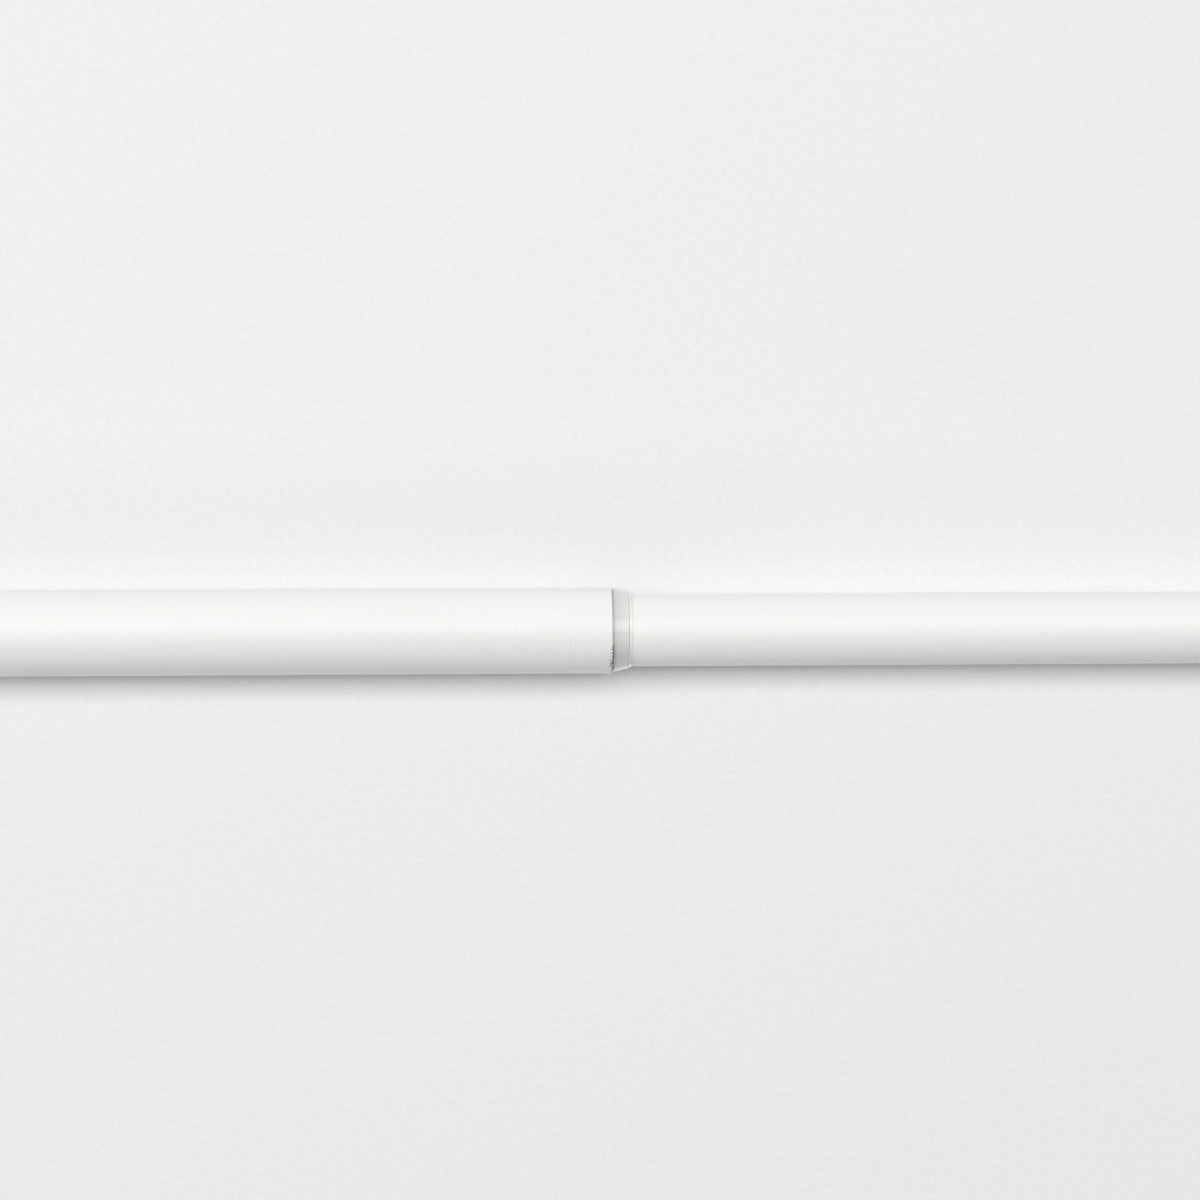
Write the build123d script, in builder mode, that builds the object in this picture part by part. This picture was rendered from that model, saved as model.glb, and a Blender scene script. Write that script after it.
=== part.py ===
"""Extendable curtain rod: a slim steel tube that slides and turns in a larger one.

The rod lies along +X with +Z up. Its origin is the middle of the flat end face
of the larger tube's plug, so every place along X is a distance from that end.
All sizes are in millimetres, and every clearance is on the radius unless it
says that it is along the rod.
"""

from build123d import *
import os

# Lengths: the shortest length follows from the larger tube
outer_tube_length = 690.0
travel = 500.0
rest_extension = 250.0
closed_gap = 1.67  # along the rod, between collar and end plug at the shortest length
stop_gap = 0.5  # along the rod, between guide bush and collar at full length

# Steel tubes: the larger diameter follows from the smaller tube and the collar
inner_diameter = 16.0
inner_wall = 0.6
outer_wall = 0.7
end_deburr = 0.15

# Mouth of the larger tube, its rim turned in where it was cut
mouth_bevel_length = 0.45
mouth_bevel_depth = 0.25

# Rolled groove that holds the guide bush in the hidden end of the smaller tube
groove_distance = 8.0
groove_floor = 1.2
groove_flank = 1.2
groove_depth = 0.5
groove_inside_bend = 0.3

# Clearances
slide_clearance = 0.1
seat_clearance = 0.04
turn_clearance = 0.06
groove_play = 0.15  # along the rod
shoulder_gap = 0.1  # along the rod

# Transition collar: a tapered nose and a thin lip outside, a slit skirt inside
skirt_wall = 0.66
skirt_length = 60.0
skirt_band = 22.0
skirt_lead_length = 0.8
skirt_lead_depth = 0.3
skirt_slits = 3
skirt_slit_width = 1.4
neck_length = 0.33
neck_depth = 0.2
nose_setback = 0.03
nose_length = 3.36
nose_tip_wall = 0.4
nose_tip_bevel = 0.12
lip_length = 0.64
lip_wall = 0.1

# Guide bush: two lands that slide, and a split spigot that the smaller tube turns on
guide_length = 25.0
guide_land = 5.0
guide_land_edge = 0.3
guide_waist_depth = 0.45
guide_band = 8.0
guide_slits = 4
guide_slit_width = 1.2
spigot_tip_length = 4.0
spigot_lead = 0.6
spigot_wall = 1.4
spigot_band = 4.5
spigot_slit_width = 1.0

# End plugs
plug_head = 2.0
plug_head_bevel = 0.5
plug_shank_length = 14.0
plug_shank_wall = 1.2
plug_rib_pairs = 3
plug_rib_width = 1.1
plug_rib_height = 0.5
plug_rib_lead = 0.35

# Radii that follow
inner_radius = inner_diameter / 2
inner_bore = inner_radius - inner_wall
collar_bore = inner_radius + slide_clearance
skirt_radius = collar_bore + skirt_wall
outer_bore = skirt_radius + seat_clearance
outer_radius = outer_bore + outer_wall

# Places along the rod that follow
outer_start = plug_head
mouth = outer_start + outer_tube_length
skirt_end = mouth - skirt_length
nose_start = mouth + neck_length
nose_end = nose_start + nose_length
collar_end = nose_end + lip_length
closed_inner_end = collar_end + closed_gap
inner_end = closed_inner_end + rest_extension
inner_tube_length = closed_inner_end + travel - skirt_end + stop_gap - shoulder_gap
inner_start = inner_end - inner_tube_length
groove_centre = inner_start + groove_distance
groove_reach = groove_floor / 2 + groove_flank

os.makedirs("parts", exist_ok=True)


def cut_slits(count, width, reach, start, end, turn):
    """Cut lengthwise slits from start to end through the wall of the open part."""
    with BuildSketch(Plane.YZ.offset(start)) as slits:
        with PolarLocations(reach / 2, count, start_angle=turn):
            Rectangle(reach, width)
    extrude(slits.sketch, amount=end - start, mode=Mode.SUBTRACT)


# Larger steel tube, welded and powder coated, cut square at both ends
with BuildPart() as outer_tube:
    with BuildSketch(Plane.YZ.offset(outer_start)):
        Circle(outer_radius)
        Circle(outer_bore, mode=Mode.SUBTRACT)
    extrude(amount=outer_tube_length)
    rims = outer_tube.edges().filter_by(GeomType.CIRCLE).group_by(Axis.X)
    chamfer(rims[0], length=end_deburr)
    mouth_face = outer_tube.faces().sort_by(Axis.X)[-1]
    chamfer(
        rims[-1].sort_by(SortBy.RADIUS)[-1],
        length=mouth_bevel_depth,
        length2=mouth_bevel_length,
        reference=mouth_face,
    )

outer_tube.part.label = "outer_tube"
export_step(outer_tube.part, "parts/outer_tube.step")


# Smaller steel tube: its wall dips at the groove that was rolled over the spigot
groove_radius = inner_radius - groove_depth
with BuildPart() as inner_tube:
    with BuildSketch(Plane.XY):
        with BuildLine():
            FilletPolyline(
                (inner_start, inner_radius),
                (groove_centre - groove_reach, inner_radius),
                (groove_centre - groove_floor / 2, groove_radius),
                (groove_centre + groove_floor / 2, groove_radius),
                (groove_centre + groove_reach, inner_radius),
                (inner_end, inner_radius),
                radius=inner_wall + groove_inside_bend,
            )
            offset(amount=inner_wall, side=Side.RIGHT)
        make_face()
    revolve(axis=Axis.X)
    rims = inner_tube.edges().filter_by(GeomType.CIRCLE).group_by(Axis.X)
    chamfer(rims[0] + rims[-1], length=end_deburr)

inner_tube.part.label = "inner_tube"
export_step(inner_tube.part, "parts/inner_tube.step")


# Translucent collar: its shoulder seats on the mouth, its skirt guides the smaller tube
nose_radius = outer_radius - mouth_bevel_depth - nose_setback
neck_radius = nose_radius - neck_depth
nose_tip_radius = collar_bore + nose_tip_wall
lip_radius = collar_bore + lip_wall
with BuildPart() as transition_collar:
    with BuildSketch(Plane.XY):
        with BuildLine():
            Polyline(
                (skirt_end, collar_bore),
                (skirt_end, skirt_radius - skirt_lead_depth),
                (skirt_end + skirt_lead_length, skirt_radius),
                (mouth, skirt_radius),
                (mouth, neck_radius),
                (nose_start, neck_radius),
                (nose_start, nose_radius),
                (nose_end, nose_tip_radius),
                (nose_end, lip_radius),
                (collar_end, lip_radius),
                (collar_end, collar_bore),
                close=True,
            )
        make_face()
    revolve(axis=Axis.X)
    rims = transition_collar.edges().filter_by(GeomType.CIRCLE).group_by(Axis.X)
    chamfer(rims[-2].sort_by(SortBy.RADIUS)[-1], length=nose_tip_bevel)
    cut_slits(
        skirt_slits,
        skirt_slit_width,
        outer_radius,
        skirt_end,
        mouth - skirt_band,
        turn=90,
    )

transition_collar.part.label = "transition_collar"
export_step(transition_collar.part, "parts/transition_collar.step")


# Guide bush: it slides in the larger tube, and the smaller tube turns on its spigot
shoulder = inner_start - shoulder_gap
guide_start = shoulder - guide_length
land_radius = outer_bore - slide_clearance
waist_radius = land_radius - guide_waist_depth
spigot_radius = inner_bore - turn_clearance
spigot_groove_radius = inner_bore - groove_depth - turn_clearance
guide_bore = spigot_groove_radius - spigot_wall
groove_low = groove_centre - groove_reach - groove_play
groove_high = groove_centre + groove_reach + groove_play
spigot_end = groove_high + spigot_tip_length
rear_land_end = guide_start + guide_land
front_land_start = shoulder - guide_land
with BuildPart() as guide_bush:
    with BuildSketch(Plane.XY):
        with BuildLine():
            Polyline(
                (guide_start, guide_bore),
                (guide_start, land_radius - guide_land_edge),
                (guide_start + guide_land_edge, land_radius),
                (rear_land_end, land_radius),
                (rear_land_end + guide_waist_depth, waist_radius),
                (front_land_start - guide_waist_depth, waist_radius),
                (front_land_start, land_radius),
                (shoulder - guide_land_edge, land_radius),
                (shoulder, land_radius - guide_land_edge),
                (shoulder, spigot_radius),
                (groove_low, spigot_radius),
                (groove_low, spigot_groove_radius),
                (groove_high, spigot_groove_radius),
                (groove_high, spigot_radius),
                (spigot_end - spigot_lead, spigot_radius),
                (spigot_end, spigot_radius - spigot_lead),
                (spigot_end, guide_bore),
                close=True,
            )
        make_face()
    revolve(axis=Axis.X)
    cut_slits(
        guide_slits,
        guide_slit_width,
        outer_radius,
        guide_start,
        shoulder - guide_band,
        turn=45,
    )
    cut_slits(
        guide_slits,
        spigot_slit_width,
        outer_radius,
        inner_start + spigot_band,
        spigot_end,
        turn=0,
    )

guide_bush.part.label = "guide_bush"
export_step(guide_bush.part, "parts/guide_bush.step")


def end_plug(seat, outward, tube_radius, tube_bore):
    """Model a push-in plug: a flat head as wide as its tube, and a hollow ribbed shank.

    The plane stands on the tube's end and looks outward along the rod, so the head
    is extruded from it forwards and the shank backwards.
    """
    tube_end = Plane(origin=(seat, 0, 0), x_dir=(0, 1, 0), z_dir=(outward, 0, 0))
    along = Axis(origin=(seat, 0, 0), direction=(outward, 0, 0))
    rib_radius = tube_bore - seat_clearance
    shank_radius = tube_bore - plug_rib_height
    with BuildPart() as plug:
        with BuildSketch(tube_end):
            Circle(tube_radius)
        extrude(amount=plug_head)
        chamfer(plug.faces().sort_by(along)[-1].edges(), length=plug_head_bevel)
        with BuildSketch(tube_end):
            Circle(rib_radius)
            Circle(shank_radius - plug_shank_wall, mode=Mode.SUBTRACT)
        extrude(amount=-plug_shank_length)
        shank_tip = plug.faces().sort_by(along)[0]
        chamfer(shank_tip.outer_wire().edges(), length=plug_rib_lead)
        with BuildSketch(tube_end):
            Circle(tube_bore)
            Circle(shank_radius, mode=Mode.SUBTRACT)
            with PolarLocations(0, plug_rib_pairs, angular_range=180):
                Rectangle(2 * tube_radius, plug_rib_width, mode=Mode.SUBTRACT)
        extrude(amount=-plug_shank_length, mode=Mode.SUBTRACT)
    return plug


# Plastic plugs that close the two outer ends
outer_end_plug = end_plug(outer_start, -1, outer_radius, outer_bore)
outer_end_plug.part.label = "outer_end_plug"
export_step(outer_end_plug.part, "parts/outer_end_plug.step")

inner_end_plug = end_plug(inner_end, 1, inner_radius, inner_bore)
inner_end_plug.part.label = "inner_end_plug"
export_step(inner_end_plug.part, "parts/inner_end_plug.step")
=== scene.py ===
# %% [markdown]
# # An extendable curtain rod, seen close at its joint
#
# A slim white steel tube slides out of a larger one. Where they meet, a milky plastic collar
# fills the step between them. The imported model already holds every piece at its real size,
# but with few facets round each tube. This lesson turns the pieces that show as fine meshes
# in the same places, gives each one the finish of its real material, and lights the joint
# like a product on white paper.

# %% Load the frame
import math

import bpy
from mathutils import Matrix, Vector


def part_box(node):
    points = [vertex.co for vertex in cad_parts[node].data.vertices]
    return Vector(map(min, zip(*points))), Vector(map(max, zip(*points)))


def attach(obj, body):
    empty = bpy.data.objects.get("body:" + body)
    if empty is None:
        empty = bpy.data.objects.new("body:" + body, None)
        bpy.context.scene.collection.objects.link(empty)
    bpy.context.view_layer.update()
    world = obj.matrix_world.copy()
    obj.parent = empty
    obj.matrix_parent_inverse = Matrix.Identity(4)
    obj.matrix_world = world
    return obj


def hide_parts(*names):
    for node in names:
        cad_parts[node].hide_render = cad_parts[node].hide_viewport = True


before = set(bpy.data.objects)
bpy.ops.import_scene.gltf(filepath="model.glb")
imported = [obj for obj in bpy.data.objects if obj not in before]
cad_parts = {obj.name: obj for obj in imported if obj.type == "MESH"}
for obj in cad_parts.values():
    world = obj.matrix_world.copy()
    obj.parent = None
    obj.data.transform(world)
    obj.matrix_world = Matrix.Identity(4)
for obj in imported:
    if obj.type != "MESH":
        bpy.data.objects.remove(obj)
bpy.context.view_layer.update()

print("CAD nodes:", ", ".join(sorted(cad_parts)))

# %% [markdown]
# ## Sizes
#
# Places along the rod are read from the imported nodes, so that the fine meshes stay where the
# solids are. Walls, bevels and the collar's steps are too small to read from a box, so they are
# named where each piece is made. All lengths in this file are in metres, and MM keeps the
# numbers readable.

# %% Places along the rod and sizes of the two tubes
MM = 0.001

tube_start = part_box("outer_tube")[0].x
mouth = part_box("outer_tube")[1].x
slim_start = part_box("inner_tube")[0].x
slim_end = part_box("inner_tube")[1].x
skirt_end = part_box("transition_collar")[0].x
collar_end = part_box("transition_collar")[1].x
large_plug_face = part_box("outer_end_plug")[0].x
slim_plug_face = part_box("inner_end_plug")[1].x

large_radius = 9.5 * MM
large_bore = 8.8 * MM
slim_radius = 8.0 * MM
slim_bore = 7.4 * MM
print(f"mouth at {mouth:.4f} m, smaller tube from {slim_start:.4f} to {slim_end:.4f} m")

# %% [markdown]
# ## Turning a round piece
#
# Every piece of the rod is round about the X axis. It could be spun from a flat outline, but
# pulling a circle along is easier to follow: a circle is drawn at the first station, and its
# edge is extruded, moved along the rod and scaled to the radius of the next station. An outline
# that comes back to its first station is a ring, like a tube with walls. An open outline is
# closed with a flat face at each end.

# %% A function that turns a piece from its stations
ROUND = 256
MERGE = 0.0005 * MM


def turn(name, stations, closed=True, segments=ROUND):
    """Pull a circle through (place along the rod, radius) stations and close it to a solid."""
    x, radius = stations[0]
    bpy.ops.object.select_all(action="DESELECT")
    bpy.ops.mesh.primitive_circle_add(
        vertices=segments, radius=radius, location=(x, 0, 0), rotation=(0, math.pi / 2, 0)
    )
    piece = bpy.context.object
    piece.name = name
    piece.data.name = name
    bpy.ops.object.transform_apply(location=True, rotation=True, scale=True)
    bpy.ops.object.mode_set(mode="EDIT")
    bpy.ops.mesh.select_mode(type="VERT")
    bpy.ops.mesh.select_all(action="SELECT")
    for next_x, next_radius in stations[1:] + (stations[:1] if closed else []):
        bpy.ops.mesh.extrude_edges_move(TRANSFORM_OT_translate={"value": (next_x - x, 0, 0)})
        growth = next_radius / radius
        bpy.ops.transform.resize(value=(1, growth, growth), center_override=(next_x, 0, 0))
        x, radius = next_x, next_radius
    bpy.ops.mesh.select_all(action="SELECT")
    if closed:
        bpy.ops.mesh.remove_doubles(threshold=MERGE)
    else:
        bpy.ops.mesh.fill_holes(sides=0)
    bpy.ops.mesh.normals_make_consistent(inside=False)
    bpy.ops.mesh.select_mode(type="FACE")
    bpy.ops.mesh.select_all(action="DESELECT")
    bpy.ops.object.mode_set(mode="OBJECT")
    print(f"{name}: {len(piece.data.vertices)} vertices, {len(piece.data.polygons)} faces")
    return piece


# %% [markdown]
# ## Round edges and smooth shading
#
# A cut or moulded edge is never quite sharp, and its small round is what catches the light.
# The Bevel modifier could round it afterwards, but here the round is a few more stations. A
# turned piece is then shaded smooth, apart from the edges that are sharp on the real one.

# %% Two helpers for edges
def rounded_corner(start, end, steps=6):
    """Stations of a quarter round that leaves start along the rod and meets end square to it."""
    stations = []
    for step in range(1, steps + 1):
        turned = math.radians(90 * step / steps)
        x = start[0] + (end[0] - start[0]) * math.sin(turned)
        radius = end[1] + (start[1] - end[1]) * math.cos(turned)
        stations.append((x, radius))
    return stations


def smooth(piece, sharp_above=32):
    """Shade a piece smooth, but keep the edges that turn by more than an angle in degrees."""
    bpy.ops.object.select_all(action="DESELECT")
    piece.select_set(True)
    bpy.context.view_layer.objects.active = piece
    bpy.ops.object.shade_smooth_by_angle(angle=math.radians(sharp_above))


# %% [markdown]
# ## The larger tube
#
# The tube is cut with a wheel, which turns its rim in a little, so the mouth has a small round
# outside and a bare cut face. Rings stand close together over the last stretch, because the
# coat there is torn and needs points to move.

# %% Turn the larger tube
deburr = 0.15 * MM
rim_length = 0.45 * MM
rim_depth = 0.25 * MM
torn_length = 1.5 * MM
torn_ring = 0.15 * MM

outside = [(tube_start, large_radius - deburr), (tube_start + deburr, large_radius)]
torn_start = mouth - rim_length - torn_length
for ring in range(int(torn_length / torn_ring) + 1):
    outside.append((torn_start + ring * torn_ring, large_radius))
rim = rounded_corner((mouth - rim_length, large_radius), (mouth, large_radius - rim_depth))
inside = [
    (mouth, large_bore + deburr / 2),
    (mouth - deburr / 2, large_bore),
    (tube_start + deburr, large_bore),
    (tube_start, large_bore + deburr),
]
larger_tube = turn("larger_tube", outside + rim + inside, segments=2 * ROUND)

# %% [markdown]
# ## Where the coat is torn
#
# Low on the near side, where the wheel broke through the steel, the powder coat is chipped and
# a little burr stands up. The stretch could be painted as a vertex group by hand. Here its
# weights are worked out from where each point lies: the nearer to the rim the stronger, and
# fading out above and below.

# %% Mark the torn stretch of the rim
# Angles round the rod, in degrees from the top towards the near side
torn_above = (18, 28)
torn_below = (74, 62)


def share(value, low, high):
    """How far value is from low to high, kept between 0 and 1."""
    return min(1.0, max(0.0, (value - low) / (high - low)))


def torn_weight(place):
    """How much the coat is torn at a point of the mouth, from 0 to 1."""
    if math.hypot(place.y, place.z) < (large_bore + large_radius) / 2:
        return 0.0
    around = math.degrees(math.atan2(-place.y, place.z))
    along = share(place.x, torn_start, mouth)
    return along**2 * share(around, *torn_above) * share(around, *torn_below)


torn_group = larger_tube.vertex_groups.new(name="torn_coat")
torn_points = 0
for vertex in larger_tube.data.vertices:
    weight = torn_weight(vertex.co)
    if weight > 0:
        torn_group.add([vertex.index], weight, "REPLACE")
        torn_points += 1
print(f"torn coat: {torn_points} of {len(larger_tube.data.vertices)} points can move")

# %% [markdown]
# ## The burr
#
# The torn coat is real relief, so it is made with the Displace modifier, held to its place by
# the vertex group: one pass lifts and sinks the surface, and one pass moves the rim along the
# rod, which makes its line ragged. Grains of paint and steel there are a third of a millimetre.

# %% Roughen the rim on the near side
torn_grain = 0.35 * MM


def displace(piece, group, direction, grain, depth, level):
    """Move the points of a group by a noise whose lumps are one grain wide.

    The level is the noise value that stays in place: a low one moves most points forward.
    """
    noise = bpy.data.textures.new(f"{group}_{direction}", type="CLOUDS")
    noise.noise_scale = grain
    noise.noise_depth = 2
    noise.contrast = 2.5
    modifier = piece.modifiers.new(f"{group}_{direction}", "DISPLACE")
    modifier.texture = noise
    modifier.texture_coords = "LOCAL"
    modifier.vertex_group = group
    modifier.direction = direction
    modifier.strength = depth
    modifier.mid_level = level
    bpy.context.view_layer.objects.active = piece
    bpy.ops.object.modifier_apply(modifier=modifier.name)


displace(larger_tube, "torn_coat", "NORMAL", grain=torn_grain, depth=0.4 * MM, level=0.25)
displace(larger_tube, "torn_coat", "X", grain=torn_grain, depth=0.8 * MM, level=0.64)
smooth(larger_tube)
furthest = max(vertex.co.x for vertex in larger_tube.data.vertices)
print(f"torn coat: the rim now reaches {(furthest - mouth) / MM:.2f} mm past its cut")

# %% [markdown]
# ## The smaller tube
#
# Its outer end is cut square. Near the hidden end a groove is rolled into the wall, which holds
# the plastic bush. A rolled groove has soft shoulders, so its depth follows a cosine, and the
# inside of the wall dips with the outside.

# %% Turn the smaller tube
slim_wall = slim_radius - slim_bore
groove_distance = 8.0 * MM
groove_reach = 1.9 * MM
groove_depth = 0.5 * MM
groove_steps = 16

groove_centre = slim_start + groove_distance
dip = []
for step in range(groove_steps + 1):
    offset = groove_reach * (2 * step / groove_steps - 1)
    depth = groove_depth * (1 + math.cos(math.pi * offset / groove_reach)) / 2
    dip.append((groove_centre + offset, slim_radius - depth))
outside = [(slim_start, slim_radius - deburr), (slim_start + deburr, slim_radius)]
outside += dip
outside += [(slim_end - deburr, slim_radius), (slim_end, slim_radius - deburr)]
inside = [(slim_end, slim_bore + deburr), (slim_end - deburr, slim_bore)]
inside += [(x, radius - slim_wall) for x, radius in reversed(dip)]
inside += [(slim_start + deburr, slim_bore), (slim_start, slim_bore + deburr)]
smaller_tube = turn("smaller_tube", outside + inside)
smooth(smaller_tube)

# %% [markdown]
# ## The collar
#
# The collar is one moulding. Outside the mouth it has a short neck, a nose that tapers down to
# the smaller tube, and a thin lip. Inside, a long skirt with a tapered lead guides the smaller
# tube. All of it is round, so one ring of stations gives the whole section.

# %% Turn the collar
collar_bore = 8.1 * MM
skirt_radius = 8.76 * MM
skirt_lead_length = 0.8 * MM
skirt_lead_depth = 0.3 * MM
neck_length = 0.33 * MM
neck_radius = 9.02 * MM
nose_radius = 9.22 * MM
lip_length = 0.64 * MM
lip_radius = 8.2 * MM
nose_tip_radius = 8.5 * MM
nose_tip_round = 0.12 * MM
edge_break = 0.05 * MM

nose_start = mouth + neck_length
nose_end = collar_end - lip_length
nose_slope = (nose_radius - nose_tip_radius) / (nose_end - nose_start)
nose = [
    (mouth, neck_radius),
    (nose_start, neck_radius),
    (nose_start, nose_radius - edge_break),
    (nose_start + edge_break, nose_radius),
]
nose_tip = (nose_end - nose_tip_round, nose_tip_radius + nose_slope * nose_tip_round)
nose.append(nose_tip)
nose += rounded_corner(nose_tip, (nose_end, nose_tip_radius - nose_tip_round), steps=4)
skirt = [
    (skirt_end, collar_bore),
    (skirt_end, skirt_radius - skirt_lead_depth),
    (skirt_end + skirt_lead_length, skirt_radius),
    (mouth, skirt_radius),
]
lip = [(nose_end, lip_radius)]
lip_edge = (collar_end - edge_break, lip_radius)
lip += rounded_corner(lip_edge, (collar_end, lip_radius - edge_break), steps=3)
collar = turn("collar", skirt + nose + lip + [(collar_end, collar_bore)])

# %% [markdown]
# ## The skirt's slits
#
# The skirt is slit from its hidden end, so that it can give. Faces could be deleted and the
# walls of each slit filled in by hand. A box that is taken away with the Boolean modifier
# leaves those walls by itself, one box for each slit.

# %% Cut the slits of the skirt
slit_count = 3
slit_width = 1.4 * MM
skirt_band = 22.0 * MM

slit_stop = mouth - skirt_band
slit_length = slit_stop - skirt_end
for slit in range(slit_count):
    bpy.ops.object.select_all(action="DESELECT")
    bpy.ops.mesh.primitive_cube_add(size=1)
    cutter = bpy.context.object
    cutter.data.transform(Matrix.Diagonal((2 * slit_length, slit_width, large_radius, 1)))
    cutter.data.transform(Matrix.Translation((slit_stop - slit_length, 0, large_radius / 2)))
    cutter.data.transform(Matrix.Rotation(2 * math.pi * slit / slit_count, 4, "X"))
    cut = collar.modifiers.new("slit", "BOOLEAN")
    cut.operation = "DIFFERENCE"
    cut.object = cutter
    bpy.context.view_layer.objects.active = collar
    bpy.ops.object.modifier_apply(modifier=cut.name)
    bpy.data.objects.remove(cutter)
smooth(collar)
print(f"collar: {len(collar.data.polygons)} faces with {slit_count} slits")

# %% [markdown]
# ## The end plugs
#
# A plug is a flat head as wide as its tube, with a hollow shank that is pushed in. Six ribs on
# the shank grip the bore. The ribs are made as by hand: the faces of the shank that lie under a
# rib are selected and pulled outwards along their normals. So first a test is needed, which
# tells whether a face lies there.

# %% Find the faces under the ribs
plug_head_round = 0.6 * MM
plug_shank = 14.0 * MM
plug_wall = 1.2 * MM
plug_lead = 0.35 * MM
rib_count = 6
rib_width = 1.1 * MM
rib_height = 0.46 * MM
rib_gap = 0.04 * MM
# A face looks along the rod when the X part of its normal is above this
along_rod = 0.5


def under_rib(face, shank_radius):
    """Whether a face lies on the shank's outside, where one of its ribs stands."""
    centre = face.center
    if abs(math.hypot(centre.y, centre.z) - shank_radius) > edge_break:
        return False
    pitch = 2 * math.pi / rib_count
    around = math.atan2(centre.z, centre.y)
    beside = abs((around + pitch / 2) % pitch - pitch / 2) * shank_radius
    return beside < rib_width / 2 and abs(face.normal.x) < along_rod


print(f"{rib_count} ribs of {rib_width / MM:.1f} mm on each shank")

# %% [markdown]
# ## One plug for each tube
#
# Both plugs are the same design in two sizes, so one function makes them. The outline of a plug
# is open: it starts at the hollow of its shank and ends at its flat face.

# %% Turn the plugs
plug_segments = 192


def end_plug(name, seat, face, radius, bore):
    """A plug from its seat on the tube's end to its flat face, with a ribbed shank behind."""
    outward = 1 if face > seat else -1
    shank_radius = bore - rib_height - rib_gap
    hollow_radius = shank_radius - plug_wall
    tip = seat - outward * plug_shank
    edge = (face - outward * plug_head_round, radius)
    stations = [
        (seat, hollow_radius),
        (tip, hollow_radius),
        (tip, shank_radius),
        (tip + outward * plug_lead, shank_radius),
        (seat, shank_radius),
        (seat, radius),
        edge,
    ]
    stations += rounded_corner(edge, (face, radius - plug_head_round))
    plug = turn(name, stations, closed=False, segments=plug_segments)
    for polygon in plug.data.polygons:
        from_tip = (polygon.center.x - tip) * outward
        polygon.select = under_rib(polygon, shank_radius) and plug_lead < from_tip < plug_shank
    bpy.ops.object.mode_set(mode="EDIT")
    bpy.ops.mesh.extrude_region_shrink_fatten(TRANSFORM_OT_shrink_fatten={"value": rib_height})
    bpy.ops.object.mode_set(mode="OBJECT")
    smooth(plug)
    return plug


larger_plug = end_plug("larger_plug", tube_start, large_plug_face, large_radius, large_bore)
smaller_plug = end_plug("smaller_plug", slim_end, slim_plug_face, slim_radius, slim_bore)

# %% [markdown]
# ## Colours and nodes
#
# Colours are written as sRGB hex values, as a paint chart or a photo editor shows them, and one
# function turns them into the linear values that the sockets take. One more function adds any
# node with its settings and links, which keeps each material short enough to read. A node's
# inputs are named as in the editor, or numbered where several have one name.

# %% Helpers for materials
def linear(hex_colour):
    """The linear RGBA of an sRGB hex colour such as #F2F2EF, by the curve of the standard."""
    channels = [int(hex_colour[place:place + 2], 16) / 255 for place in (1, 3, 5)]
    rgb = [c / 12.92 if c <= 0.04045 else ((c + 0.055) / 1.055) ** 2.4 for c in channels]
    return (*rgb, 1)


def fill(node, inputs):
    """Give a node's inputs their values, or link them to another node or one of its sockets."""
    for name, value in inputs.items():
        if isinstance(value, bpy.types.Node):
            value = value.outputs[0]
        if isinstance(value, bpy.types.NodeSocket):
            node.id_data.links.new(value, node.inputs[name])
        else:
            node.inputs[name].default_value = value


def add_node(tree, kind, inputs, **settings):
    """Add a node with its settings, and fill its inputs."""
    node = tree.nodes.new(kind)
    for name, value in settings.items():
        setattr(node, name, value)
    fill(node, inputs)
    return node


def new_material(name):
    """A new material: its node tree, its shader and the object coordinates for its patterns."""
    material = bpy.data.materials.new(name)
    material.use_nodes = True
    tree = material.node_tree
    place = add_node(tree, "ShaderNodeTexCoord", {}).outputs["Object"]
    return material, tree, tree.nodes["Principled BSDF"], place


print("a white of #F2F2EF is", [round(channel, 3) for channel in linear("#F2F2EF")])

# %% [markdown]
# ## Places on a round piece
#
# The marks of the mouth and the shades of the collar lie at certain angles round the rod. They
# could be laid out in UV coordinates, but an angle worked out from the object coordinates needs
# no unwrapping: it is the arc tangent of how far a point lies to the near side and how high.

# %% A function for the angle round the rod
def angle_from_top(tree, axes):
    """The angle of a place round the rod, from the top towards the near side, in radians."""
    near_side = add_node(
        tree, "ShaderNodeMath", {0: axes.outputs["Y"], 1: -1.0}, operation="MULTIPLY"
    )
    return add_node(
        tree, "ShaderNodeMath", {0: near_side, 1: axes.outputs["Z"]}, operation="ARCTAN2"
    )


# %% [markdown]
# ## Scuffs on the coat
#
# Where a hand holds the rod to draw it out, near the joint and near the outer end of the
# smaller tube, small dull scuffs run round it. They could be painted one by one. A Voronoi
# pattern, pulled long and set aslant, scatters them by itself, and the random colour of its
# cells makes some of them strong and others faint.

# %% Make the mask of the scuffs
SCUFF_SPACING = 4 * MM
SCUFF_SIZE = 0.12
SCUFF_STRETCH = 4.0
SCUFF_SLANT = 0.3
HANDLED = 30 * MM


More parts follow.
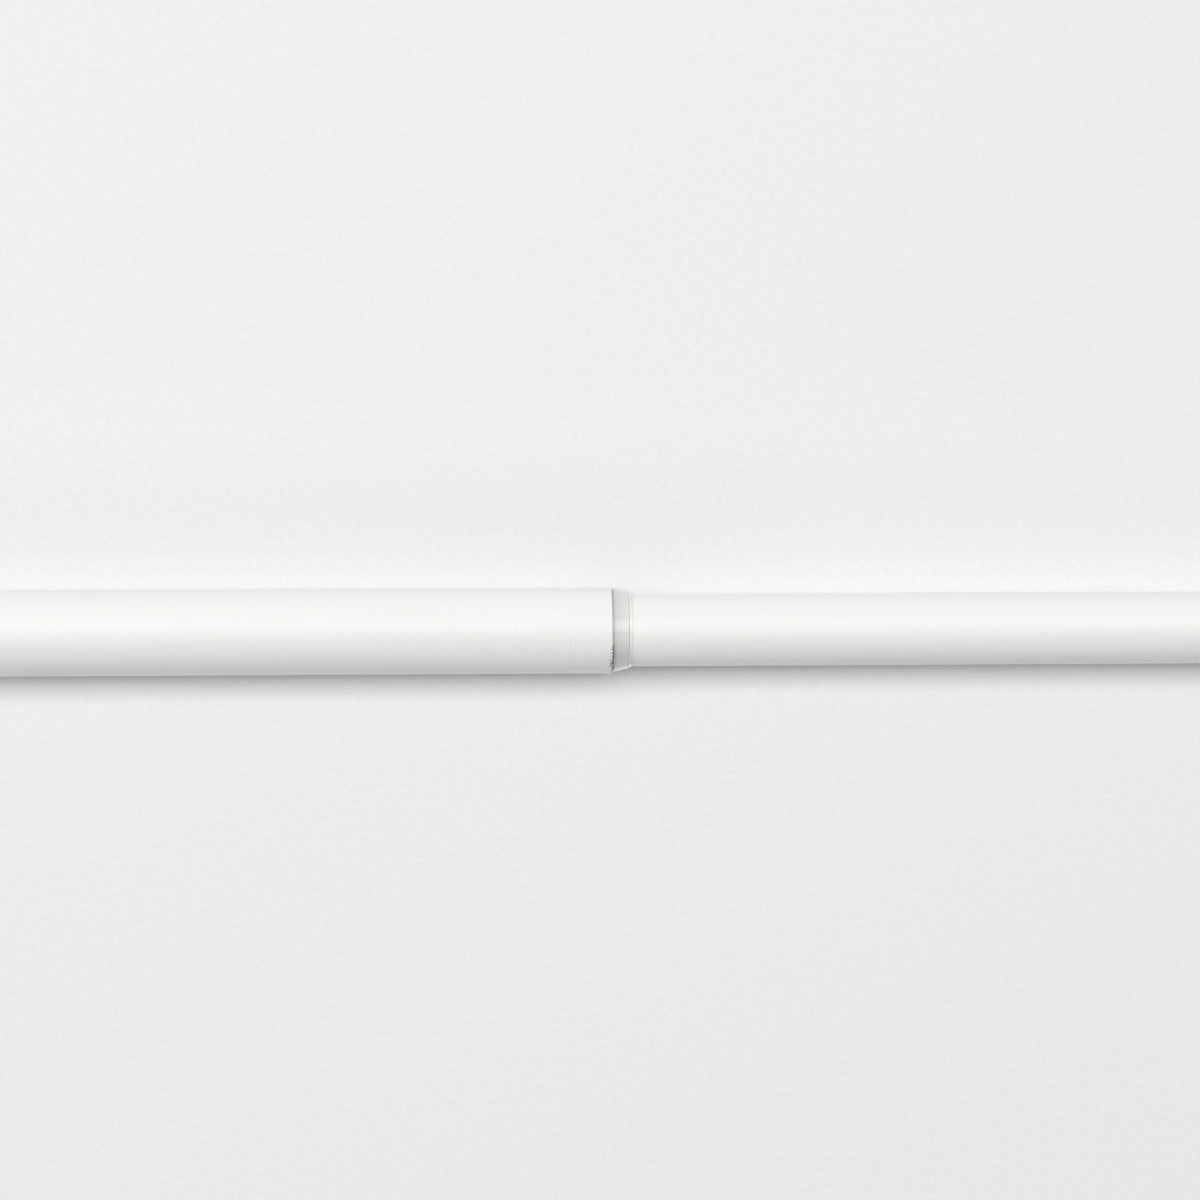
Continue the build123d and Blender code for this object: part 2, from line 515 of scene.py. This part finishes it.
def scuff_mask(tree, place, grip):
    """How much each place is scuffed, from 0 to 1, near the place of the grip along the rod."""
    along = add_node(tree, "ShaderNodeSeparateXYZ", {"Vector": place}).outputs["X"]
    beyond_grip = add_node(tree, "ShaderNodeMath", {0: along, 1: grip}, operation="SUBTRACT")
    from_grip = add_node(tree, "ShaderNodeMath", {0: beyond_grip}, operation="ABSOLUTE")
    handled = add_node(
        tree,
        "ShaderNodeMapRange",
        {"Value": from_grip, "From Min": HANDLED, "From Max": HANDLED / 2},
    )
    round_it = add_node(
        tree,
        "ShaderNodeMapping",
        {"Vector": place, "Rotation": (0, 0, SCUFF_SLANT), "Scale": (1 / SCUFF_STRETCH, 1, 1)},
        vector_type="TEXTURE",
    )
    scuffs = add_node(
        tree, "ShaderNodeTexVoronoi", {"Vector": round_it, "Scale": 1 / SCUFF_SPACING}
    )
    spot = add_node(
        tree,
        "ShaderNodeMapRange",
        {"Value": scuffs.outputs["Distance"], "From Min": SCUFF_SIZE, "From Max": SCUFF_SIZE / 2},
    )
    chance = add_node(
        tree, "ShaderNodeMath", {0: spot, 1: scuffs.outputs["Color"]}, operation="MULTIPLY"
    )
    return add_node(tree, "ShaderNodeMath", {0: chance, 1: handled}, operation="MULTIPLY")


# %% [markdown]
# ## Powder coat on steel tube
#
# Polyester powder is sprayed on dry and melted in an oven. It flows out nearly flat and leaves
# a faint orange peel, with lumps of one to two millimetres. Its white is a little warm. Resin
# rises while it cures, so a thin smooth skin lies over the rougher pigment. One rough gloss
# could stand for both. The shader's coat layer gives the skin a gloss of its own, which draws
# the light line along the lower edge, and the pigment below has none. A sheen stands for the
# light that the pigment scatters where it is seen at a low angle.

# %% Make the powder coat
PEEL = 1.3 * MM
PEEL_HEIGHT = 0.09 * MM
CLOUD = 22 * MM


def powder_coat(name, grip):
    """White satin powder coat with its orange peel, and a few scuffs near the place of the grip."""
    material, tree, shader, place = new_material(name)
    peel = add_node(tree, "ShaderNodeTexNoise", {"Vector": place, "Scale": 1 / PEEL, "Detail": 3.0})
    cloud = add_node(
        tree, "ShaderNodeTexNoise", {"Vector": place, "Scale": 1 / CLOUD, "Detail": 4.0}
    )
    white = add_node(
        tree,
        "ShaderNodeMix",
        {"Factor": cloud, "A": linear("#EFEFEC"), "B": linear("#F2F2EF")},
        data_type="RGBA",
    )
    scuffed = scuff_mask(tree, place, grip)
    colour = add_node(
        tree,
        "ShaderNodeMix",
        {"Factor": scuffed, "A": white.outputs["Result"], "B": linear("#CACBC5")},
        data_type="RGBA",
    )
    gloss = add_node(
        tree,
        "ShaderNodeMapRange",
        {"Value": cloud, "From Min": 0.3, "From Max": 0.7, "To Min": 0.55, "To Max": 0.65},
    )
    bump = add_node(
        tree, "ShaderNodeBump", {"Height": peel, "Strength": 0.6, "Distance": PEEL_HEIGHT}
    )
    fill(shader, {"Base Color": colour.outputs["Result"], "Roughness": gloss, "Normal": bump})
    fill(shader, {"IOR": 1.5, "Specular IOR Level": 0.0})
    fill(shader, {"Coat Weight": 0.8, "Coat Roughness": 0.42, "Coat Normal": bump})
    fill(shader, {"Sheen Weight": 0.6, "Sheen Roughness": 0.3})
    print(f"{name}: {len(tree.nodes)} nodes")
    return material


grip_from_end = 60 * MM
slim_coat = powder_coat("powder_coat_white", slim_end - grip_from_end)
large_coat = powder_coat("powder_coat_white_chipped", mouth)

# %% [markdown]
# ## The damaged stretch
#
# The larger tube has the same coat, but damaged beside the torn part of the rim. The marks
# could be painted by hand. A mask that follows the angle round the rod fades out above and
# below, and so it stays with the modelled burr by itself.

# %% Mark the damaged stretch in the larger tube's coat
# Angles round the rod, from the top towards the near side
chipped_above = (math.radians(16), math.radians(30))
chipped_below = (math.radians(76), math.radians(60))

tree = large_coat.node_tree
shader = tree.nodes["Principled BSDF"]
place = tree.nodes["Texture Coordinate"].outputs["Object"]
coat_colour = shader.inputs["Base Color"].links[0].from_socket
coat_bump = shader.inputs["Normal"].links[0].from_socket
axes = add_node(tree, "ShaderNodeSeparateXYZ", {"Vector": place})
inward = add_node(tree, "ShaderNodeMath", {0: mouth, 1: axes.outputs["X"]}, operation="SUBTRACT")
around = angle_from_top(tree, axes)
upper_end = add_node(
    tree,
    "ShaderNodeMapRange",
    {"Value": around, "From Min": chipped_above[0], "From Max": chipped_above[1]},
)
lower_end = add_node(
    tree,
    "ShaderNodeMapRange",
    {"Value": around, "From Min": chipped_below[0], "From Max": chipped_below[1]},
)
window = add_node(tree, "ShaderNodeMath", {0: upper_end, 1: lower_end}, operation="MULTIPLY")
damage = [round(math.degrees(angle)) for angle in (chipped_above[0], chipped_below[0])]
print(f"damaged from {damage[0]} to {damage[1]} degrees round from the top")

# %% [markdown]
# ## Chips and a painted highlight on the rim
#
# The coat is chipped off in flakes, and dark steel shows. The flakes could be cut into the
# mesh, but they are no deeper than a coat of paint, so colour is enough. Where a noise is high,
# the steel reaches further in from the rim, which gives ragged flakes that thin out inwards.
# A narrow band along the rim is made whiter: a painted highlight on the rim's edge.

# %% Chip the coat of the larger tube
FLAKE = 0.28 * MM
FLAKE_REACH = 0.9 * MM
FLAKE_BEGINS = 0.5
FLAKE_FULL = 0.65
# width of the painted highlight along the rim
RIM_HIGHLIGHT = 0.35 * MM

flakes = add_node(tree, "ShaderNodeTexNoise", {"Vector": place, "Scale": 1 / FLAKE, "Detail": 3.0})
reach = add_node(
    tree,
    "ShaderNodeMapRange",
    {"Value": flakes, "From Min": FLAKE_BEGINS, "From Max": FLAKE_FULL, "To Max": FLAKE_REACH},
)
chip_edge = add_node(tree, "ShaderNodeMath", {0: reach, 1: window}, operation="MULTIPLY")
chipped = add_node(tree, "ShaderNodeMath", {0: inward, 1: chip_edge}, operation="LESS_THAN")
# painted highlight: the coat is made whiter in a narrow band along the rim
on_rim_highlight = add_node(
    tree, "ShaderNodeMapRange", {"Value": inward, "From Min": RIM_HIGHLIGHT, "From Max": RIM_HIGHLIGHT / 2}
)
rim_highlighted = add_node(
    tree,
    "ShaderNodeMix",
    {"Factor": on_rim_highlight, "A": coat_colour, "B": linear("#F8F8F6")},
    data_type="RGBA",
)
steel_shows = add_node(
    tree,
    "ShaderNodeMix",
    {"Factor": chipped, "A": rim_highlighted.outputs["Result"], "B": linear("#8E8E89")},
    data_type="RGBA",
)
fill(shader, {"Base Color": steel_shows.outputs["Result"]})
print(f"flakes of {FLAKE / MM:.2f} mm reach {FLAKE_REACH / MM:.1f} mm in from the rim")

# %% [markdown]
# ## The crazed coat
#
# Beside the flakes the coat is crazed and lifted. Fine cracks could be modelled, but a second
# bump over the orange peel is enough for a relief this low. Real crazing is as fine as the
# flakes. It is drawn two and a half times as coarse, or it would not show at all.

# %% Craze the coat beside the chips
CRAZE = 0.7 * MM
CRAZED_REACH = 8 * MM
CRAZED_HEIGHT = 0.3 * MM

nearness = add_node(
    tree, "ShaderNodeMapRange", {"Value": inward, "From Min": CRAZED_REACH, "From Max": 0.0}
)
crazed = add_node(tree, "ShaderNodeMath", {0: nearness, 1: window}, operation="MULTIPLY")
crazing = add_node(tree, "ShaderNodeTexNoise", {"Vector": place, "Scale": 1 / CRAZE, "Detail": 3.0})
lifted = add_node(tree, "ShaderNodeMath", {0: crazing, 1: crazed}, operation="MULTIPLY")
crazed_bump = add_node(
    tree,
    "ShaderNodeBump",
    {"Height": lifted, "Strength": 1.0, "Distance": CRAZED_HEIGHT, "Normal": coat_bump},
)
fill(shader, {"Normal": crazed_bump, "Coat Normal": crazed_bump})
print(f"{large_coat.name}: {len(tree.nodes)} nodes with its damage")

# %% [markdown]
# ## Bare steel
#
# The bore and the cut faces were never coated evenly: they show grey rolled steel, with fine
# lines that run along the tube from the rolls. A metal keeps the default IOR.

# %% Make the bare steel
ROLL_LINE = 0.3 * MM
ROLL_STRETCH = 20

bare_steel, tree, shader, place = new_material("bare_rolled_steel")
stretched = add_node(
    tree, "ShaderNodeMapping", {"Vector": place, "Scale": (1 / ROLL_STRETCH, 1, 1)}
)
lines = add_node(
    tree, "ShaderNodeTexNoise", {"Vector": stretched, "Scale": 1 / ROLL_LINE, "Detail": 3.0}
)
steel_gloss = add_node(
    tree, "ShaderNodeMapRange", {"Value": lines, "To Min": 0.35, "To Max": 0.5}
)
steel_colour = add_node(
    tree,
    "ShaderNodeMix",
    {"Factor": lines, "A": linear("#8F8F8C"), "B": linear("#A9A9A5")},
    data_type="RGBA",
)
fill(shader, {"Base Color": steel_colour.outputs["Result"]})
fill(shader, {"Roughness": steel_gloss, "Metallic": 1.0})
print(f"{bare_steel.name}: {len(tree.nodes)} nodes")

# %% [markdown]
# ## The collar's milky plastic
#
# The collar is moulded in unfilled polypropylene, which is cloudy. It could be made with
# transmission, but it lies so close over the white tube that what shows is only how much of the
# tube comes through: little at the thick root of the nose, and most at its thin tip and lip. A
# colour ramp that follows the rod says the same. The ramp also holds painted light: painted
# shade darkens the neck and the root of the nose beside the mouth, a painted shade line marks
# the step at the nose's tip, and a painted highlight runs along the edge of the lip.

# %% Colour the collar along the rod
# how far the painted shade at the root of the nose reaches
root_shade_reach = 0.9 * MM

milky, tree, shader, place = new_material("milky_polypropylene")
axes = add_node(tree, "ShaderNodeSeparateXYZ", {"Vector": place})
along = axes.outputs["X"]
exposed = add_node(
    tree, "ShaderNodeMapRange", {"Value": along, "From Min": mouth, "From Max": collar_end}
)
depth_and_painted_light = add_node(tree, "ShaderNodeValToRGB", {"Fac": exposed})
stops = [
    # painted shade at the neck and the root of the nose beside the mouth
    (mouth, "#BCBDBA"),
    (nose_start, "#C0C1BE"),
    (nose_start + edge_break, "#CFD0CC"),
    (nose_start + root_shade_reach, "#DADBD7"),
    (nose_end - 4 * edge_break, "#E5E6E2"),
    # painted shade line at the step of the nose's tip
    (nose_end - 2 * edge_break, "#CBCCC7"),
    (nose_end, "#CBCCC7"),
    # painted highlight along the edge of the lip
    (nose_end + edge_break, "#F6F7F3"),
    (collar_end, "#EDEEEA"),
]
ramp = depth_and_painted_light.color_ramp
for x, hex_colour in stops[1:-1]:
    ramp.elements.new((x - mouth) / (collar_end - mouth))
for stop, (x, hex_colour) in zip(ramp.elements, stops):
    stop.color = linear(hex_colour)
print(f"{milky.name}: {len(stops)} colour stops along {(collar_end - mouth) / MM:.2f} mm")

# %% [markdown]
# ## Painted shade on the collar and a painted highlight on its edge
#
# Low on the near side, the collar's colour is darkened with painted shade, most of all at the
# root of the nose beside the mouth. Along its lower edge a lighter stripe is a painted
# highlight. Both are factors on the colour, worked out from the angle round the rod.

# %% Shade the collar round the rod
# painted shade on the near lower side of the collar, darkest at the root of the nose
painted_shade_middle = math.radians(39)
painted_shade_half_width = math.radians(26)
painted_shade_factor = 0.85
painted_shade_at_root = 0.72
# painted highlight along the collar's lower edge
limb_start = math.radians(62)
limb_end = math.radians(78)
limb_highlight_gain = 1.75

around = angle_from_top(tree, axes)
from_painted_shade = add_node(tree, "ShaderNodeMath", {0: around, 1: painted_shade_middle}, operation="SUBTRACT")
painted_shade_distance = add_node(tree, "ShaderNodeMath", {0: from_painted_shade}, operation="ABSOLUTE")
at_root = add_node(
    tree,
    "ShaderNodeMapRange",
    {
        "Value": along,
        "From Min": nose_start,
        "From Max": nose_start + root_shade_reach,
        "To Min": painted_shade_at_root,
        "To Max": painted_shade_factor,
    },
)
on_nose = add_node(
    tree,
    "ShaderNodeMapRange",
    {"Value": along, "From Min": nose_end - edge_break, "From Max": nose_end, "To Min": at_root},
)
painted_shade = add_node(
    tree,
    "ShaderNodeMapRange",
    {"Value": painted_shade_distance, "From Max": painted_shade_half_width, "To Min": on_nose},
)
painted_limb_highlight = add_node(
    tree,
    "ShaderNodeMapRange",
    {"Value": around, "From Min": limb_start, "From Max": limb_end, "To Min": 1.0, "To Max": limb_highlight_gain},
)
painted_shade_and_highlight = add_node(tree, "ShaderNodeMath", {0: painted_shade, 1: painted_limb_highlight}, operation="MULTIPLY")
print(f"gap behind the collar: {2 * math.degrees(painted_shade_half_width):.0f} degrees wide")

# %% [markdown]
# ## Cloudiness and gloss of the collar
#
# Polypropylene is never even: faint swirls from the flow in the mould make it a little lighter
# or darker. Its skin is smooth, with a slightly oily gloss. A sheen stands for the light that
# the cloudy wall scatters towards its edges.

# %% Finish the collar's polypropylene
SWIRL = 2.5 * MM
SWIRL_HEIGHT = 0.01 * MM

swirl = add_node(tree, "ShaderNodeTexNoise", {"Vector": place, "Scale": 1 / SWIRL, "Detail": 2.0})
cloudiness = add_node(tree, "ShaderNodeMapRange", {"Value": swirl, "To Min": 0.97, "To Max": 1.03})
shade = add_node(tree, "ShaderNodeMath", {0: cloudiness, 1: painted_shade_and_highlight}, operation="MULTIPLY")
collar_colour_and_painted_light = add_node(
    tree,
    "ShaderNodeVectorMath",
    {0: depth_and_painted_light.outputs["Color"], "Scale": shade},
    operation="SCALE",
)
soft = add_node(
    tree, "ShaderNodeBump", {"Height": swirl, "Strength": 0.3, "Distance": SWIRL_HEIGHT}
)
# the collar's colour carries the painted shade and the painted highlight
fill(shader, {"Base Color": collar_colour_and_painted_light, "Normal": soft})
fill(shader, {"Roughness": 0.14, "IOR": 1.49, "Sheen Weight": 0.4})
print(f"{milky.name}: {len(tree.nodes)} nodes")

# %% [markdown]
# ## The plugs and the hidden bush
#
# The plugs are white polyethylene with the fine matt grain of a spark-eroded mould. The bush
# is natural acetal, which is a little creamier and slides well on steel. It stays the packed
# node, because it is out of sight and its shape is right.

# %% Make the two other plastics
SPARK_HEIGHT = 0.02 * MM


def moulded(name, dark, light, grain, roughness):
    """A matt moulded plastic with the fine grain of its mould."""
    material, tree, shader, place = new_material(name)
    sparks = add_node(
        tree, "ShaderNodeTexNoise", {"Vector": place, "Scale": 1 / grain, "Detail": 4.0}
    )
    colour = add_node(
        tree,
        "ShaderNodeMix",
        {"Factor": sparks, "A": linear(dark), "B": linear(light)},
        data_type="RGBA",
    )
    bump = add_node(
        tree, "ShaderNodeBump", {"Height": sparks, "Strength": 0.5, "Distance": SPARK_HEIGHT}
    )
    fill(shader, {"Base Color": colour.outputs["Result"], "Roughness": roughness, "Normal": bump})
    print(f"{name}: grain of {grain / MM:.1f} mm")
    return material


plug_plastic = moulded("white_polyethylene", "#E9E9E5", "#F0F0ED", grain=0.5 * MM, roughness=0.5)
bush_plastic = moulded("natural_acetal", "#E4E1D6", "#EBE8DD", grain=0.8 * MM, roughness=0.4)

# %% [markdown]
# ## Dressing the pieces
#
# Each fine piece gets its material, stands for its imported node, and rides on the body that
# node belongs to. On the tubes the bore and the cut faces are bare steel, so those faces are
# found by where they lie and given the second slot.

# %% Dress the tubes, the collar, the plugs and the bush
# A face is a square cut when the X part of its normal is above this
square_cut = 0.9


def dress(piece, material, node, body):
    """Give a piece its material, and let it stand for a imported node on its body."""
    piece.data.materials.append(material)
    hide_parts(node)
    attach(piece, body)


def bare_inside(piece, outer, bore):
    """Give the bore and the square ends of a tube the bare steel."""
    piece.data.materials.append(bare_steel)
    for polygon in piece.data.polygons:
        distance = math.hypot(polygon.center.y, polygon.center.z)
        in_bore = distance < bore + deburr
        cut_face = abs(polygon.normal.x) > square_cut and distance < outer
        polygon.material_index = 1 if in_bore or cut_face else 0


dress(larger_tube, large_coat, "outer_tube", "outer")
bare_inside(larger_tube, large_radius - deburr, large_bore)
dress(smaller_tube, slim_coat, "inner_tube", "inner")
bare_inside(smaller_tube, slim_radius - deburr, slim_bore)
dress(collar, milky, "transition_collar", "outer")
dress(larger_plug, plug_plastic, "outer_end_plug", "outer")
dress(smaller_plug, plug_plastic, "inner_end_plug", "inner")
for bush_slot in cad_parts["guide_bush"].material_slots:
    bush_slot.material = bush_plastic

# %% [markdown]
# ## Paper on the floor
#
# The rod lies on a wide sheet of white paper, whose fibres make faint clouds of one millimetre
# or so. Its colour is a light grey with a trace of blue, which the lamps bring to the white of
# the paper in a photograph.

# %% Lay the paper floor
FIBRE = 1.2 * MM
floor_size = 12

bpy.ops.object.select_all(action="DESELECT")
bpy.ops.mesh.primitive_plane_add(size=floor_size, location=(mouth, 0, -large_radius))
floor = bpy.context.object
floor.name = "paper_floor"
paper, tree, shader, place = new_material("white_paper")
fibres = add_node(tree, "ShaderNodeTexNoise", {"Vector": place, "Scale": 1 / FIBRE, "Detail": 4.0})
paper_colour = add_node(
    tree,
    "ShaderNodeMix",
    {"Factor": fibres, "A": linear("#EAEAEB"), "B": linear("#F4F4F5")},
    data_type="RGBA",
)
floor.data.materials.append(paper)
print(f"floor of {floor_size} m, {large_radius / MM:.1f} mm below the rod's axis")

# %% [markdown]
# ## The glow beside the rod
#
# On the far side, the rod's flank throws the lamp's light back on the paper. A camera holds
# such a glow back, and a render does not. The tone curve could do it, but it is left as it is,
# so the paper is a little greyer there instead: less so along the smaller tube, which slides
# away, and then leaves the paper bare. The floor's own middle lies under the mouth, so places
# on it are measured from there.

# %% Hold back the glow on the paper
glow_offset = 1.8 * large_radius
glow_reach = 3.2 * large_radius
glow_share = 0.935
slim_glow_share = 0.965
glow_change = 0.05
rod_from = tube_start - mouth
rod_to = slim_end - mouth


def from_line(tree, place, start, end):
    """How far a place on the floor is from the nearest point of a line along the rod.

    Map Range keeps each coordinate of the place between those of the line's two ends.
    """
    nearest = add_node(
        tree,
        "ShaderNodeMapRange",
        {"Vector": place, "From Min": start, "From Max": end, "To Min": start, "To Max": end},
        data_type="FLOAT_VECTOR",
    )
    distance = add_node(
        tree,
        "ShaderNodeVectorMath",
        {0: place, 1: nearest.outputs["Vector"]},
        operation="DISTANCE",
    )
    return distance.outputs["Value"]


from_glow = from_line(tree, place, (rod_from, glow_offset, 0), (rod_to, glow_offset, 0))
along = add_node(tree, "ShaderNodeSeparateXYZ", {"Vector": place}).outputs["X"]
kept_share = add_node(
    tree,
    "ShaderNodeMapRange",
    {"Value": along, "From Max": glow_change, "To Min": glow_share, "To Max": slim_glow_share},
)
let_down = add_node(
    tree,
    "ShaderNodeMapRange",
    {"Value": from_glow, "From Max": glow_reach, "To Min": kept_share},
    interpolation_type="SMOOTHSTEP",
)
beside_rod = add_node(
    tree,
    "ShaderNodeVectorMath",
    {0: paper_colour.outputs["Result"], "Scale": let_down},
    operation="SCALE",
)
fill(shader, {"Base Color": beside_rod, "Roughness": 0.9, "Specular IOR Level": 0.2})
print(f"glow held back within {glow_reach / MM:.0f} mm of its line")

# %% [markdown]
# ## The plain background
#
# Far from the rod the lamp no longer reaches the paper, and the floor would turn dark. More
# lamps could light it, but they would light the rod too. So there the paper turns into a plain
# background of the same white, which only rays of sight, gloss and glass see. That adds no
# light to the rod.

# %% Turn the far floor into the background
background = linear("#F0F0F1")
lit_reach = 0.12
background_reach = 0.4


def seen_rays(tree):
    """1 for the rays of sight, gloss and glass, and 0 for the light that a surface passes on."""
    rays = add_node(tree, "ShaderNodeLightPath", {})
    sight_or_gloss = add_node(
        tree,
        "ShaderNodeMath",
        {0: rays.outputs["Is Camera Ray"], 1: rays.outputs["Is Glossy Ray"]},
        operation="MAXIMUM",
    )
    return add_node(
        tree,
        "ShaderNodeMath",
        {0: sight_or_gloss, 1: rays.outputs["Is Transmission Ray"]},
        operation="MAXIMUM",
    )


from_rod = from_line(tree, place, (rod_from, 0, 0), (rod_to, 0, 0))
far = add_node(
    tree,
    "ShaderNodeMapRange",
    {"Value": from_rod, "From Min": lit_reach, "From Max": background_reach},
    interpolation_type="SMOOTHSTEP",
)
far_and_seen = add_node(tree, "ShaderNodeMath", {0: far, 1: seen_rays(tree)}, operation="MULTIPLY")
plain = add_node(tree, "ShaderNodeEmission", {"Color": background, "Strength": 1.0})
surface = add_node(tree, "ShaderNodeMixShader", {"Fac": far_and_seen, 1: shader, 2: plain})
fill(tree.nodes["Material Output"], {"Surface": surface})
print(f"lit paper within {lit_reach} m of the rod, plain background beyond {background_reach} m")

# %% [markdown]
# ## Light
#
# The photograph shows one broad lamp above the rod, a little beyond it: the shadow falls on the
# near side only, with a soft edge, and the glossy collar shows the lamp as a bright band near
# its crest. That band gives the two edges of the lamp, as angles from straight up. A long
# softbox does that, and it reaches further to the left, where the paper is brighter.

# %% Hang the softbox
lamp_height = 1.8
lamp_reach_left = 4.5
lamp_reach_right = 1.3
lamp_edge_near = math.radians(-2.8)
lamp_edge_beyond = math.radians(28.6)
lamp_radiance = 3.08

near_edge = lamp_height * math.tan(lamp_edge_near)
far_edge = lamp_height * math.tan(lamp_edge_beyond)
softbox = bpy.data.lights.new("softbox", "AREA")
softbox.shape = "RECTANGLE"
softbox.size = lamp_reach_left + lamp_reach_right
softbox.size_y = far_edge - near_edge
softbox.energy = lamp_radiance * math.pi * softbox.size * softbox.size_y
lamp = bpy.data.objects.new("softbox", softbox)
bpy.context.scene.collection.objects.link(lamp)
lamp_middle = mouth + (lamp_reach_right - lamp_reach_left) / 2
lamp.location = (lamp_middle, (near_edge + far_edge) / 2, lamp_height)
lamp.visible_camera = False
print(f"softbox {softbox.size:.1f} m by {softbox.size_y:.2f} m, {softbox.energy:.0f} W")

# %% [markdown]
# ## The studio round the rod
#
# The world is the faint light of a white studio, whose far wall is the brighter one. More lamps
# could stand for the walls, but the direction in the world's own texture coordinates tells near
# from far at once. Rays of sight, gloss and glass see the studio as plain white. The Standard
# view shows each colour about as it is written.

# %% Light the world
wall_near = 0.18
wall_beyond = 0.5

world = bpy.data.worlds.new("studio")
world.use_nodes = True
bpy.context.scene.world = world
tree = world.node_tree
direction = add_node(tree, "ShaderNodeTexCoord", {}).outputs["Generated"]
beyond = add_node(tree, "ShaderNodeSeparateXYZ", {"Vector": direction}).outputs["Y"]
studio_light = add_node(
    tree,
    "ShaderNodeMapRange",
    {"Value": beyond, "From Min": -1.0, "To Min": wall_near, "To Max": wall_beyond},
)
strength = add_node(tree, "ShaderNodeMapRange", {"Value": seen_rays(tree), "To Min": studio_light})
fill(tree.nodes["Background"], {"Color": background, "Strength": strength})
bpy.context.scene.view_settings.view_transform = "Standard"
print(f"walls of {wall_near} on the near side and {wall_beyond} on the far side")

# %% [markdown]
# ## Camera
#
# The camera looks down on the joint from high above with a long lens. It stands a little to
# the left, which bows the line of the mouth. Three more facts place it: how many pixels of the
# picture a metre of the rod takes, where the joint lies in the picture, and how much the rod
# rises towards the right.

# %% Place the camera
picture_pixels = 1200
pixels_per_metre = 4553
joint_pixel = (611.25, 630)
rise = math.radians(0.27)
lean = math.radians(2.0)
camera_height = 0.75
sensor = 36.0

joint = Vector((mouth, 0, 0))
right = Vector((math.cos(rise), -math.sin(rise), 0))
up = Vector((math.sin(rise), math.cos(rise), 0))
middle = picture_pixels / 2
centre = joint - right * ((joint_pixel[0] - middle) / pixels_per_metre)
centre += up * ((joint_pixel[1] - middle) / pixels_per_metre)
back = Vector((-math.sin(lean), 0, math.cos(lean)))
right = (right - back * right.dot(back)).normalized()
up = back.cross(right)

lens = bpy.data.cameras.new("camera")
lens.sensor_width = sensor
lens.lens = sensor * camera_height * pixels_per_metre / picture_pixels
camera = bpy.data.objects.new("camera", lens)
bpy.context.scene.collection.objects.link(camera)
turned = Matrix((right, up, back)).transposed().to_4x4()
camera.matrix_world = Matrix.Translation(centre + back * camera_height) @ turned
bpy.context.scene.camera = camera
print(f"camera {camera_height} m above the joint, lens {lens.lens:.1f} mm")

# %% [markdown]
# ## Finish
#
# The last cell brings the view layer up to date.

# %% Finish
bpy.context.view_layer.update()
